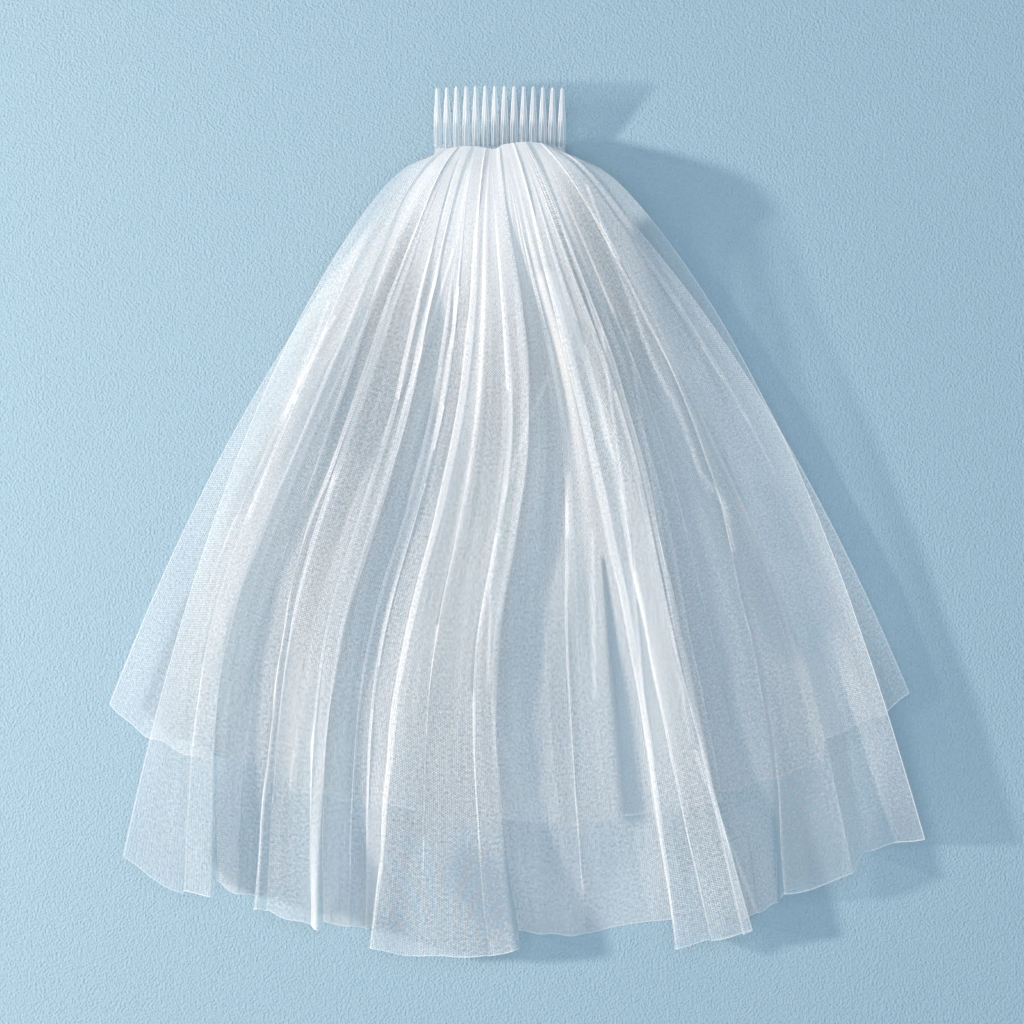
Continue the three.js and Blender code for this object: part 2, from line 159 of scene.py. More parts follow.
longTier = {
    "name": "longTulle",
    "color": (0.905, 0.96, 1.0),
    "flat": (0.68, 0.464),
    "length": 464.0,
    "headHalf": 39.0,
    "hemHalf": 226.5,
    "flare": 1.25,  # how evenly the sides spread: lower is rounder at the shoulders
    "sway": 13.8,  # how far the hem lies to the right
    # the head's edge: across, along
    "head": [
        (-40, -9), (-34.6, -4.6), (-24, -1.4), (-13, -1.2), (-2.5, -2.6), (0.8, -0.4), (9, 0.9), (16, 1.4),
        (26, 0), (35, -5), (40, -9.5),
    ],
    "foldRadius": 0.7,
    "radiusShare": 0.068,  # largest radius as a share of the folds' spacing
    "rowCount": 166,
    "columns": 600,
    "seed": 5,
    "pleats": [1, 1, 2, 2, 2, 1, 2, 1, 0, 0],  # small pleats in each panel
    "pleatLap": 5.0,
    "pleatDrop": 0.8,
    "headFull": 5.5,  # layers of cloth on top of one another in the middle of the head
    # from the left edge to the right one: threads there against an even layer's
    "fullness": [
        (0, 0.85), (0.12, 0.85), (0.3, 1.2), (0.42, 1.3), (0.5, 1), (0.6, 1.3), (0.7, 1),
        (0.8, 0.75), (1, 0.8),
    ],
    # along, level of the low panels, rise of the raised ones
    "rows": [
        (0, 24.8, 0.2), (0.02, 30.8, 0.2), (0.05, 38.3, 0.2), (0.09, 44, 0.5), (0.14, 43.2, 1.3),
        (0.2, 36.4, 3.6), (0.28, 26.1, 8.4), (0.37, 18.5, 13), (0.46, 15.8, 15), (0.55, 15.8, 14.2),
        (0.64, 15.8, 14.2), (0.73, 15.8, 13.5), (0.82, 15.8, 14.2), (0.9, 11.2, 18.7), (1, 0.5, 30.7),
    ],
    # the fold's middle at the upper, lower and hem stops, as a share of the half width; its lap at the
    # same stops, where no pleats stand before it; and the thread's length there against the tier's
    "folds": [
        (-0.8, -0.87, -0.78, -0.03, 0.01, 0.06, 0.985),
        (-0.64, -0.72, -0.67, 0.05, 0.1, 0.015, 0.99),
        (-0.42, -0.55, -0.51, 0, 0, 0.03, 1),
        (-0.2, -0.345, -0.385, 0.06, 0.056, 0.1, 1),
        (0.09, -0.07, -0.015, -0.02, 0, 0.03, 1),
        (0.31, 0.368, 0.375, 0.18, 0.086, 0.01, 1.02),
        (0.49, 0.51, 0.55, 0, 0.01, 0.08, 1.02),
        (0.72, 0.72, 0.65, 0.05, 0.05, 0.02, 0.99),
        (0.87, 0.87, 0.85, -0.05, -0.05, -0.05, 0.99),
    ],
    # the thread's length in the first panel and at both edges, against the tier's
    "firstReach": 0.985,
    "edgeReach": (0.965, 0.97),
    # creases and thin places as they show from above: strength, then x, y, half width along the line
    "marks": [
        (0.9, (50, 111, 0.9), (66, -5, 1.0), (75, -103, 1.0), (88, -218, 0.9)),
        (0.8, (65, 111, 0.9), (85, -9, 1.0), (92, -66, 0.9), (101, -126, 0.8)),
        (0.9, (42, 194, 1.0), (64, 136, 1.2), (81, 90, 1.3), (96, 61, 1.4), (107, 29, 1.5), (120, 11, 1.7),
         (126, -17, 1.5)),
        (1.0, (104, -132, 1.2), (124, -186, 1.2), (143, -235, 1.2)),
        (0.5, (19, 83, 1.0), (7, 55, 1.0), (-9, 6, 1.0), (-14, -39, 1.0), (-15, -92, 0.9)),
        (0.8, (45, -5, 0.8), (46, -103, 0.8)),
        (0.7, (-35, 157, 0.9), (-49, 111, 0.9), (-66, 59, 1.0), (-82, 1, 0.9)),
        (0.6, (-107, 128, 0.9), (-133, 59, 0.9), (-153, 1, 0.9)),
        (0.75, (19, 140, 5.2), (49, 47, 10.4), (69, -22, 15.6), (85, -97, 19.0), (105, -218, 25.4)),
        (0.3, (-26, 111, 4.6), (-48, 42, 6.3), (-62, -22, 7.5), (-69, -103, 7.5), (-75, -218, 8.1)),
        (0.35, (-107, 24, 23.1), (-124, -45, 38.1), (-130, -114, 41.5)),
        (0.3, (188, -103, 17.3), (193, -160, 28.8)),
        (0.3, (-211, -137, 11.5), (-202, -195, 19.6)),
        (-0.15, (-107, 111, 17.3), (-141, 30, 23.1)),
        (-0.8, (51, -22, 1.2), (57, -74, 4.0), (63, -114, 6.9), (69, -166, 8.7)),
        (-0.82, (78, 166, 11.5), (115, 99, 25.4), (147, 1, 26.5), (165, -57, 23.1)),
        (-0.35, (-26, -201, 16.2), (-9, -218, 17.3)),
    ],
}

shortTier = {
    "name": "shortTulle",
    "color": (0.895, 0.955, 1.0),
    "flat": (0.58, 0.389),
    "length": 389.0,
    "headHalf": 39.0,
    "hemHalf": 229.0,
    "flare": 2.6,
    "sway": 5.5,
    "head": [(-40, -6.5), (-20, -1.6), (0, 0), (20, -1.6), (40, -6.5)],
    "foldRadius": 0.7,
    "radiusShare": 0.068,
    "rowCount": 150,
    "columns": 560,
    "seed": 11,
    "pleats": [1, 1, 2, 1, 1, 1, 2, 1, 1],
    "pleatLap": 5.0,
    "pleatDrop": 0.8,
    "headFull": 4.0,
    "fullness": [(0, 1), (0.5, 1.0), (1, 0.8)],
    "rows": [
        (0, 0.5, 8), (0.025, 0.5, 8), (0.05, 0.5, 11), (0.1, 0.5, 13), (0.16, 0.5, 13), (0.23, 0.5, 12.9),
        (0.31, 0.5, 12.7), (0.4, 0.5, 12.4), (0.49, 0.5, 12.2), (0.58, 0.5, 12.2), (0.67, 0.5, 12.2),
        (0.76, 0.5, 12.2), (0.88, 0.5, 12), (1, 0.5, 11.8),
    ],
    "folds": [
        (-0.74, -0.76, -0.76, 0, 0.04, 0.05, 0.95),
        (-0.46, -0.56, -0.56, 0.06, 0.1, 0.1, 0.98),
        (-0.2, -0.25, -0.24, 0, 0.03, 0.03, 1),
        (0, -0.06, -0.02, 0, 0.02, 0.02, 1),
        (0.18, 0.13, 0.13, 0, 0.02, 0.03, 1),
        (0.36, 0.33, 0.29, 0.04, 0.05, 0.05, 1),
        (0.58, 0.56, 0.53, 0, 0.05, 0.08, 0.98),
        (0.8, 0.8, 0.79, 0, 0.04, 0.05, 0.95),
    ],
    "firstReach": 0.95,
    "edgeReach": (0.94, 0.94),
    "marks": [
        (0.8, (-6, -129, 0.9), (4, -160, 1.0), (9, -173, 1.0), (25, -126, 0.9)),
        (0.6, (-61, -97, 0.9), (-43, -167, 1.0), (-36, -120, 0.8)),
        (-0.7, (51, -22, 1.2), (57, -74, 4.6), (63, -114, 7.5), (69, -166, 9.2)),
    ],
}


def foldPoints(centre, lap, radius, fromZ, toZ):
    # One fold across every row at once, as eight points: along the panel to the lap's right side, back
    # over or under itself to the left side, and on to the right at the next panel's level.
    right, left = centre + lap / 2, centre - lap / 2
    turn = radius * np.clip(lap / (4 * radius), -1, 1)
    rise = radius * np.sign(toZ - fromZ)
    return [
        (right - 3 * radius, fromZ), (right - radius, fromZ), (right, fromZ + rise),
        (right - turn, fromZ + 2 * rise), (left + turn, toZ - 2 * rise), (left, toZ - rise),
        (left + radius, toZ), (left + 3 * radius, toZ),
    ]


def pleatPoints(centre, lap, radius, fromZ, toZ):
    # A small pleat across every row at once: the same Z-shaped turn in four points.
    right, left = centre + lap / 2, centre - lap / 2
    return [(right - 2 * radius, fromZ), (right, fromZ), (left, toZ), (left + 2 * radius, toZ)]


def tierSurface(tier):
    # The cloth as (row, column, xyz). Across, a B-spline through the folds and pleats of a table that
    # widens from head to hem. Down, each thread keeps its length, so y falls by
    # sqrt(step^2 - sideways^2 - rise^2) from row to row.
    rng = np.random.default_rng(tier["seed"])
    s = np.linspace(0, 1, tier["rowCount"])
    at = s * (1 - tulle["rowBias"]) + tulle["rowBias"] * s * s
    spread = tier["hemHalf"] - tier["headHalf"]
    half = tier["headHalf"] + spread * at * (1 + tier["flare"]) / (at + tier["flare"])
    table = np.array(tier["rows"])
    low, rise = smoothThrough(table[:, 0], table[:, 1:], at).T
    high = low + rise
    count = len(tier["folds"])
    radius = np.minimum(tier["foldRadius"], tier["radiusShare"] * 2 * half / count)
    sag = tulle["panelSag"] * rise

    settled, foldSettled = ease(at / tulle["settle"]), ease(at / tulle["foldSettle"])
    folds = []
    for i, (upper, lower, hem, upperLap, lowerLap, hemLap, reach) in enumerate(tier["folds"]):
        headAt = tulle["headSpan"] * ((2 * i + 1) / count - 1)
        centre = half * smoothThrough(tulle["foldStops"], [headAt, upper, lower, hem], at)[:, 0]
        laps = [2 * tulle["headLap"] / count, upperLap, lowerLap, hemLap]
        lap = half * smoothThrough(tulle["foldStops"], laps, at)[:, 0]
        wander = sum(
            np.sin(2 * np.pi * (at * waves + rng.uniform())) * width for waves, width in tulle["wander"]
        )
        folds.append((centre + wander * foldSettled, lap, reach))

    points, reaches = [(-half, high)], [tier["edgeReach"][0]]
    reach, raised = tier["firstReach"], True
    for panel in range(count + 1):
        level = high if raised else low
        start = points[-1][0]
        if panel < count:
            centre, lap, nextReach = folds[panel]
            end = centre + lap / 2 - 3 * radius
        else:
            end = half
        wide = np.maximum(end - start, 0)
        pleats = tier["pleats"][panel]
        shares = (np.arange(pleats) + 0.5) / pleats + rng.uniform(-0.18, 0.18, pleats)
        offset = np.zeros_like(at)
        shut = tulle["shutPleat"]
        for share in shares:
            # a pleat opens below the head and dies out further down, and the fold that ends the panel
            # laps as far as the last pleat in it
            fade = rng.uniform(0.5, 1.5)
            left = 1 - ease((at - tulle["settle"]) / (fade - tulle["settle"]))
            lap = tier["pleatLap"] * rng.uniform(0.6, 1.3) * (shut + (1 - shut) * settled) * left
            drop = tier["pleatDrop"] * (shut + (1 - shut) * foldSettled) * left
            if raised:
                drop = drop * rng.choice([-1, 1])
            swing = np.sin(2 * np.pi * (at * 0.9 + rng.uniform()))
            middle = start + share * wide + settled * tulle["pleatSwing"] * wide * swing
            bed = level - (sag * 4 * share * (1 - share) if raised else 0)
            small = np.minimum(0.5, 0.08 * wide / pleats)
            new = drop if rng.uniform() < tulle["pleatStays"] else offset * 0
            points += pleatPoints(middle, np.minimum(0.35 * wide, lap), small, bed + offset, bed + new)
            reaches += [reach] * 4
            offset = new
        if panel < count:
            fromZ, toZ = level + offset, low if raised else high
            points += foldPoints(centre, lap, radius, fromZ, toZ)
            reaches += [reach] * 4 + [nextReach] * 4
            reach, raised = nextReach, not raised
    points.append((half, high))
    reaches.append(tier["edgeReach"][1])

    x = np.stack([p[0] for p in points], 1)
    z = np.stack([p[1] for p in points], 1)
    # columns go to the stretches by their mean length below the head, short ones getting a little more
    lengths = np.hypot(np.diff(x, axis=1), np.diff(z, axis=1))[40:].mean(0) ** 0.75 + 0.35
    counts = np.maximum(2, np.round(lengths / lengths.sum() * tier["columns"]).astype(int))
    counts[np.argmax(counts)] += tier["columns"] - counts.sum()
    weights = splineWeights(counts)
    x, z = x @ weights.T, z @ weights.T
    reach = weights @ np.array(reaches)

    x = x + (tier["sway"] * at)[:, None]
    step = tier["length"] * reach[None, :] * np.diff(at)[:, None]
    run = step ** 2 - np.diff(x, axis=0) ** 2 - np.diff(z, axis=0) ** 2
    down = np.sqrt(np.maximum(run, (tulle["leastRun"] * step) ** 2))
    edge = np.array(tier["head"])
    head = smoothThrough(edge[:, 0], edge[:, 1], np.clip(x[0], edge[0, 0], edge[-1, 0])).T
    y = np.concatenate([head, head - np.cumsum(down, axis=0)])
    return np.stack([x, y, z], -1), at, rng


def surfaceNormals(points):
    # Unit normals of a grid: the cross product of its two directions, upwards on a flat sheet.
    n = np.cross(np.gradient(points, axis=0), np.gradient(points, axis=1))
    return n / np.maximum(np.linalg.norm(n, axis=-1, keepdims=True), 1e-9)


def markShares(marks, points):
    # How far each point lies in the marks, as they show from the camera: exp(-(distance / width)^4).
    eye = np.array(view["at"])
    flat = points[..., :2] + [place["combX"], place["rootY"]]
    flat = eye[:2] + (flat - eye[:2]) * (eye[2] / (eye[2] - points[..., 2:]))
    total = np.zeros(points.shape[:2])
    for strength, *stops in marks:
        stops = np.array(stops, float)
        share = np.zeros(points.shape[:2])
        for (x, y, wide), (endX, endY, endWide) in zip(stops[:-1], stops[1:]):
            run = np.array([endX - x, endY - y])
            t = np.clip(((flat - [x, y]) @ run) / (run @ run), 0, 1)
            away = np.linalg.norm(flat - [x, y] - t[..., None] * run, axis=-1)
            share = np.maximum(share, np.exp(-(away / (wide + (endWide - wide) * t)) ** 4))
        total = total + strength * share
    return total


def makeTier(tier, material, node):
    # The tier's surface, moved along its normals by waves and noise, with the cloth's own coordinates
    # as its UV map and the share of threads at each point as its attribute "gather".
    points, at, rng = tierSurface(tier)
    flatWide, flatLong = (side / mm for side in tier["flat"])
    # the cloth's width is laid out along the row that is about three quarters down
    chosen = np.searchsorted(at, 0.72)
    across = np.concatenate([[0], np.cumsum(np.linalg.norm(np.diff(points[chosen], axis=0), axis=1))])
    u = np.broadcast_to(across / across[-1] * flatWide, points.shape[:2])
    v = np.broadcast_to((at * flatLong)[:, None], points.shape[:2])
    down = at[:, None]

    # gathers: cosine waves across the cloth that die out down it, the fine ones first
    drift = waveNoise(rng, u, v * 0.25, 190) * 1.2
    gathers = 0
    for waves, height, fades in tulle["gathers"]:
        phase = rng.uniform(0, 2 * np.pi)
        strength = 0.55 + 0.45 * waveNoise(rng, u, v * 0.3, 150)
        angle = 2 * np.pi * waves * u / flatWide + drift * (1 + waves / 40) + phase
        gathers = gathers + height * np.exp(-down / fades) * strength * np.cos(angle)
    buckles = sum(
        height * waveNoise(rng, u, v * stretch, length) for height, stretch, length in tulle["buckles"]
    )
    lift = (gathers + buckles) * ease(at / tulle["settle"])[:, None]
    marks = markShares(tier["marks"], points)
    points = points + surfaceNormals(points) * lift[..., None]
    raised = points[..., 2] + tulle["creaseRise"] * np.maximum(marks, 0)
    points[..., 2] = np.maximum(raised, tulle["lowest"])
    # the cut edge is a little ragged
    ragged = sum(depth * waveNoise(rng, u, v * 0, length) for depth, length in tulle["ragged"])
    points[..., 1] += ragged * ease((down - tulle["raggedFrom"]) / (1 - tulle["raggedFrom"]))

    # how much flat cloth each bit of the surface stands for, beyond what the folds here can show
    cell = np.linalg.norm(np.cross(np.gradient(points, axis=0), np.gradient(points, axis=1)), axis=-1)
    flatCell = np.gradient(u, axis=1) * np.gradient(v, axis=0)
    head = np.exp(-(down / tulle["headReach"]) ** 2)
    bunched = np.exp(-((points[..., 0] - tulle["headMiddle"]) / tulle["headSpread"]) ** 4)
    headGather = tulle["headSides"] + (tier["headFull"] - tulle["headSides"]) * bunched
    # turns of the folds catch light as lines: there the cloth stands on edge, tighter than the grid shows
    turn = np.gradient(np.gradient(points, axis=1), axis=1)
    stride = np.linalg.norm(np.gradient(points, axis=1), axis=-1)
    crest = np.clip(np.linalg.norm(turn, axis=-1) / np.maximum(stride, 0.15) ** 2 * 0.6, 0, 1)
    # fine streaks along the threads, strongest just below the head
    streak = sum(
        share * waveNoise(rng, u, v * stretch, length, 20) for share, stretch, length in tulle["streaks"]
    )
    streak = streak * (0.1 + 0.3 * np.exp(-down / 0.3)) * (1 - 0.6 * np.exp(-(down / 0.2) ** 2))
    fullness = smoothThrough(*zip(*tier["fullness"]), across / across[-1])[:, 0]
    packed = np.clip(flatCell / np.maximum(cell, 1e-6), *tulle["gatherRange"])
    gather = fullness * packed * (1 + tulle["crest"] * crest)
    flatness = abs(surfaceNormals(points)[..., 2])
    gather = gather * (tulle["steepCover"] + (1 - tulle["steepCover"]) * flatness)
    gather = (gather * (1 - head) + headGather * head) * np.exp(streak * (1 - head)) * (1 + marks)

    points = points + np.array([place["combX"], place["rootY"], 0])
    faces = gridFaces(*points.shape[:2])
    made = makeObject(tier["name"], points, faces)
    mesh = made.data
    corner = faces.ravel()
    uv = np.stack([u.ravel(), (flatLong - v).ravel()], 1) * mm
    mesh.uv_layers.new(name="cloth").data.foreach_set("uv", uv[corner].ravel())
    mesh.attributes.new("gather", "FLOAT", "POINT").data.foreach_set("value", gather.ravel())
    mesh.materials.append(material)
    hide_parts(node)
    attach(made, "root")
    cells = np.cross(np.diff(points, axis=0)[:, :-1], np.diff(points, axis=1)[:-1])
    area = np.linalg.norm(cells, axis=-1).sum()
    print("area share", round(area / flatWide / flatLong, 3))
    print(tier["name"], len(faces) * 2, "triangles, gather", gather.min().round(2), gather.max().round(2))
    return made


def newMaterial(name):
    material = bpy.data.materials.new(name)
    material.use_nodes = True
    nodes, links = material.node_tree.nodes, material.node_tree.links
    nodes.clear()
    return material, nodes, links


def mathNode(nodes, links, operation, a, b=None, c=None, clamp=False):
    node = nodes.new("ShaderNodeMath")
    node.operation = operation
    node.use_clamp = clamp
    for socket, value in zip(node.inputs, (a, b, c)):
        if value is None:
            continue
        if isinstance(value, (int, float)):
            socket.default_value = value
        else:
            links.new(value, socket)
    return node.outputs[0]


net = {
    "pitch": 1.4,  # between the middles of two meshes
    "cover": 0.31,  # share of the surface that one flat layer's threads cover
    "contrast": 0.95,  # between threads and meshes
    "pull": 0.7,  # how unevenly the meshes are pulled, and per metre how often that changes
    "pullScale": 620,
    "hem": 1.1,  # painted highlight along the cut edges: extra threads drawn there, this wide
    "hemWidth": 0.7,
    "leastFacing": 0.82,  # cosine of the slant past which the net gets no denser
    "shade": 2.5,  # more layers in the way of the light that falls on the floor beside the veil
    "shadeFrom": 16.0,
    "meshShade": 0.965,  # painted shade: how much darker the cloth is drawn between the threads
    "roughness": 0.55,
    "glow": 0.55,  # share of light let through, by a single layer and by a dense stack
    "denseGlow": 0.25,
}


def makeNetWeave():
    # Hexagonal net: the sum of three cosines at 60 degrees, low in the meshes and high on the threads.
    group = bpy.data.node_groups.new("netWeave", "ShaderNodeTree")
    group.interface.new_socket("Vector", in_out="INPUT", socket_type="NodeSocketVector")
    group.interface.new_socket("Pitch", in_out="INPUT", socket_type="NodeSocketFloat")
    group.interface.new_socket("Threads", in_out="OUTPUT", socket_type="NodeSocketFloat")
    nodes, links = group.nodes, group.links
    inside, outside = nodes.new("NodeGroupInput"), nodes.new("NodeGroupOutput")
    wave = mathNode(nodes, links, "DIVIDE", 2 * np.pi * 1.1547, inside.outputs["Pitch"])
    total = None
    for angle in (0, 60, 120):
        dot = nodes.new("ShaderNodeVectorMath")
        dot.operation = "DOT_PRODUCT"
        dot.inputs[1].default_value = (cos(radians(angle)), sin(radians(angle)), 0)
        links.new(inside.outputs["Vector"], dot.inputs[0])
        turn = mathNode(nodes, links, "MULTIPLY", dot.outputs["Value"], wave)
        bend = mathNode(nodes, links, "COSINE", turn)
        total = bend if total is None else mathNode(nodes, links, "ADD", total, bend)
    # the sum runs from -1.5 on the threads to 3 in a mesh
    threads = mathNode(nodes, links, "MULTIPLY_ADD", total, -1 / 4.5, 3 / 4.5)
    links.new(threads, outside.inputs["Threads"])
    return group


netWeave = makeNetWeave()


def makeTulle(name, tier):
    # White net on the cloth's own coordinates. One layer covers a share of the view, and the holes of a
    # stack of layers multiply: solid = 1 - (1 - cover)^(layers / facing).
    material, nodes, links = newMaterial(name)
    color, hemWidth = tier["color"], net["hemWidth"] * mm
    uv = nodes.new("ShaderNodeUVMap")
    uv.uv_map = "cloth"
    weave = nodes.new("ShaderNodeGroup")
    weave.node_tree = netWeave
    weave.inputs["Pitch"].default_value = net["pitch"] * mm
    links.new(uv.outputs["UV"], weave.inputs["Vector"])

    gather = nodes.new("ShaderNodeAttribute")
    gather.attribute_name = "gather"

    # painted highlight: extra threads drawn along the cut hem and both side edges
    parts = nodes.new("ShaderNodeSeparateXYZ")
    links.new(uv.outputs["UV"], parts.inputs["Vector"])
    hem = mathNode(nodes, links, "LESS_THAN", parts.outputs["Y"], hemWidth)
    left = mathNode(nodes, links, "LESS_THAN", parts.outputs["X"], hemWidth)
    right = mathNode(nodes, links, "GREATER_THAN", parts.outputs["X"], tier["flat"][0] - hemWidth)
    edge = mathNode(nodes, links, "ADD", mathNode(nodes, links, "ADD", hem, left), right, clamp=True)

    # the weave's mean is 2/3 and the pattern's is 1
    bare = 1 - net["contrast"] * 1.333
    pattern = mathNode(nodes, links, "MULTIPLY_ADD", weave.outputs["Threads"], 2 * net["contrast"], bare)
    # meshes pulled a little open or shut
    pull = nodes.new("ShaderNodeTexNoise")
    pull.inputs["Scale"].default_value = net["pullScale"]
    pull.inputs["Detail"].default_value = 0
    links.new(uv.outputs["UV"], pull.inputs["Vector"])
    uneven = mathNode(nodes, links, "MULTIPLY_ADD", pull.outputs["Fac"], 2 * net["pull"], 1 - net["pull"])
    pattern = mathNode(nodes, links, "MULTIPLY", pattern, uneven)
    amount = mathNode(nodes, links, "MULTIPLY", gather.outputs["Fac"], pattern)
    amount = mathNode(nodes, links, "ADD", amount, mathNode(nodes, links, "MULTIPLY", edge, net["hem"]))

    # a net covers more where it is seen from the side
    slant = nodes.new("ShaderNodeLayerWeight")
    slant.inputs["Blend"].default_value = 0.5
    facing = mathNode(nodes, links, "SUBTRACT", 1, slant.outputs["Facing"])
    facing = mathNode(nodes, links, "MAXIMUM", facing, net["leastFacing"])
    depth = mathNode(nodes, links, "DIVIDE", amount, facing)
    # light that comes from afar, through the whole drape, is held back more than the view is
    path = nodes.new("ShaderNodeLightPath")
    near = 1 / (net["shadeFrom"] * mm)
    far = mathNode(nodes, links, "MULTIPLY_ADD", path.outputs["Ray Length"], near, -1, clamp=True)
    far = mathNode(nodes, links, "MULTIPLY", path.outputs["Is Shadow Ray"], far)
    shade = mathNode(nodes, links, "MULTIPLY_ADD", far, net["shade"], 1)
    depth = mathNode(nodes, links, "MULTIPLY", depth, shade)
    holes = mathNode(nodes, links, "POWER", 1 - net["cover"], depth)
    solid = mathNode(nodes, links, "SUBTRACT", 1, holes, clamp=True)

    # painted shade: the meshes between the threads are drawn a little darker than the threads
    tint = nodes.new("ShaderNodeMix")
    tint.data_type = "RGBA"
    tint.inputs["A"].default_value = (*[part * net["meshShade"] for part in color], 1)
    tint.inputs["B"].default_value = (*color, 1)
    links.new(weave.outputs["Threads"], tint.inputs["Factor"])
    cloth = nodes.new("ShaderNodeBsdfPrincipled")
    links.new(tint.outputs["Result"], cloth.inputs["Base Color"])
    cloth.inputs["Roughness"].default_value = net["roughness"]
    through = nodes.new("ShaderNodeBsdfTranslucent")
    links.new(tint.outputs["Result"], through.inputs["Color"])
    # a single layer glows through, and a dense stack throws more of the light back
    glow = mathNode(nodes, links, "MULTIPLY_ADD", solid, net["denseGlow"] - net["glow"], net["glow"])
    body = nodes.new("ShaderNodeMixShader")
    links.new(glow, body.inputs["Fac"])
    links.new(cloth.outputs["BSDF"], body.inputs[1])
    links.new(through.outputs["BSDF"], body.inputs[2])
    clear = nodes.new("ShaderNodeBsdfTransparent")
    mix = nodes.new("ShaderNodeMixShader")
    links.new(solid, mix.inputs["Fac"])
    links.new(clear.outputs["BSDF"], mix.inputs[1])
    links.new(body.outputs["Shader"], mix.inputs[2])
    out = nodes.new("ShaderNodeOutputMaterial")
    links.new(mix.outputs["Shader"], out.inputs["Surface"])
    return material


plasticLook = {
    "glass": 0.3,  # share of refracting plastic, the rest lets light straight through
    "flow": (900, 60, 200),  # how often the marks of moulding change across, along and off the comb
    "relief": 0.0004,
    "reliefStrength": 0.2,
    "roughness": (0.05, 0.2),
    "ior": 1.49,
    "color": (0.93, 0.97, 1, 1),
    "clearColor": (0.96, 0.985, 1, 1),
    # white of the painted highlight on the comb's teeth
    "highlightColor": (0.97, 0.98, 1, 1),
    "coat": 0.6,
    "highlightFlow": 0.6,  # how unevenly the painted highlight is spread
}


def makeClearPlastic():
    # Clear plastic that lets light straight through, glossy, and painted white where the highlight
    # attribute is high: a painted highlight on the teeth's edges and tips.
    material, nodes, links = newMaterial("clearCombPlastic")
    coord = nodes.new("ShaderNodeTexCoord")
    flow = nodes.new("ShaderNodeMapping")
    flow.inputs["Scale"].default_value = plasticLook["flow"]
    links.new(coord.outputs["Object"], flow.inputs["Vector"])
    noise = nodes.new("ShaderNodeTexNoise")
    noise.inputs["Scale"].default_value = 1
    links.new(flow.outputs["Vector"], noise.inputs["Vector"])
    bump = nodes.new("ShaderNodeBump")
    bump.inputs["Strength"].default_value = plasticLook["reliefStrength"]
    bump.inputs["Distance"].default_value = plasticLook["relief"]
    links.new(noise.outputs["Fac"], bump.inputs["Height"])
    rough = nodes.new("ShaderNodeMapRange")
    rough.inputs["To Min"].default_value = plasticLook["roughness"][0]
    rough.inputs["To Max"].default_value = plasticLook["roughness"][1]
    links.new(noise.outputs["Fac"], rough.inputs["Value"])
    plastic = nodes.new("ShaderNodeBsdfPrincipled")
    plastic.inputs["Base Color"].default_value = plasticLook["color"]
    plastic.inputs["Transmission Weight"].default_value = 1
    plastic.inputs["IOR"].default_value = plasticLook["ior"]
    links.new(rough.outputs["Result"], plastic.inputs["Roughness"])
    links.new(bump.outputs["Normal"], plastic.inputs["Normal"])
    clear = nodes.new("ShaderNodeBsdfTransparent")
    clear.inputs["Color"].default_value = plasticLook["clearColor"]
    thin = nodes.new("ShaderNodeMixShader")
    thin.inputs["Fac"].default_value = plasticLook["glass"]
    links.new(clear.outputs["BSDF"], thin.inputs[1])
    links.new(plastic.outputs["BSDF"], thin.inputs[2])
    # painted highlight: a white, coated plastic mixed in where the comb's attribute says
    highlightShader = nodes.new("ShaderNodeBsdfPrincipled")
    highlightShader.inputs["Base Color"].default_value = plasticLook["highlightColor"]
    highlightShader.inputs["Coat Weight"].default_value = plasticLook["coat"]
    links.new(rough.outputs["Result"], highlightShader.inputs["Roughness"])
    links.new(bump.outputs["Normal"], highlightShader.inputs["Normal"])
    paintedHighlight = nodes.new("ShaderNodeAttribute")
    paintedHighlight.attribute_name = "paintedHighlight"
    streaks = plasticLook["highlightFlow"]
    uneven = mathNode(nodes, links, "MULTIPLY_ADD", noise.outputs["Fac"], streaks, 1 - streaks / 2)
    amount = mathNode(nodes, links, "MULTIPLY", paintedHighlight.outputs["Fac"], uneven, clamp=True)
    mix = nodes.new("ShaderNodeMixShader")
    links.new(amount, mix.inputs["Fac"])
    links.new(thin.outputs["Shader"], mix.inputs[1])
    links.new(highlightShader.outputs["BSDF"], mix.inputs[2])
    out = nodes.new("ShaderNodeOutputMaterial")
    links.new(mix.outputs["Shader"], out.inputs["Surface"])
    return material


floorLook = {
    "half": 8000,
    "level": -0.2,
    "grain": 760,
    "relief": 0.0013,
    "dark": (0.251, 0.389, 0.492, 1),
    "pale": (0.313, 0.45, 0.548, 1),
}


def makeFloorFinish():
    # Pale blue, matt and lightly grained, like textured paper.
    material, nodes, links = newMaterial("paleBlueFloor")
    coord = nodes.new("ShaderNodeTexCoord")
    grain = nodes.new("ShaderNodeTexNoise")
    grain.inputs["Scale"].default_value = floorLook["grain"]
    grain.inputs["Detail"].default_value = 4
    links.new(coord.outputs["Object"], grain.inputs["Vector"])
    bump = nodes.new("ShaderNodeBump")
    bump.inputs["Strength"].default_value = 1
    bump.inputs["Distance"].default_value = floorLook["relief"]
    links.new(grain.outputs["Fac"], bump.inputs["Height"])
    tint = nodes.new("ShaderNodeMix")
    tint.data_type = "RGBA"
    tint.inputs["A"].default_value = floorLook["dark"]
    tint.inputs["B"].default_value = floorLook["pale"]
    links.new(grain.outputs["Fac"], tint.inputs["Factor"])
    paper = nodes.new("ShaderNodeBsdfPrincipled")
    links.new(tint.outputs["Result"], paper.inputs["Base Color"])
    paper.inputs["Roughness"].default_value = 0.9
    paper.inputs["Specular IOR Level"].default_value = 0.15
    links.new(bump.outputs["Normal"], paper.inputs["Normal"])
    out = nodes.new("ShaderNodeOutputMaterial")
    links.new(paper.outputs["BSDF"], out.inputs["Surface"])
    return material


longTulle = makeTulle("whiteTulleUpper", longTier)
shortTulle = makeTulle("whiteTulleLower", shortTier)
clearPlastic = makeClearPlastic()
print("materials made")

makeTier(shortTier, shortTulle, "short_tier")
makeTier(longTier, longTulle, "long_tier")


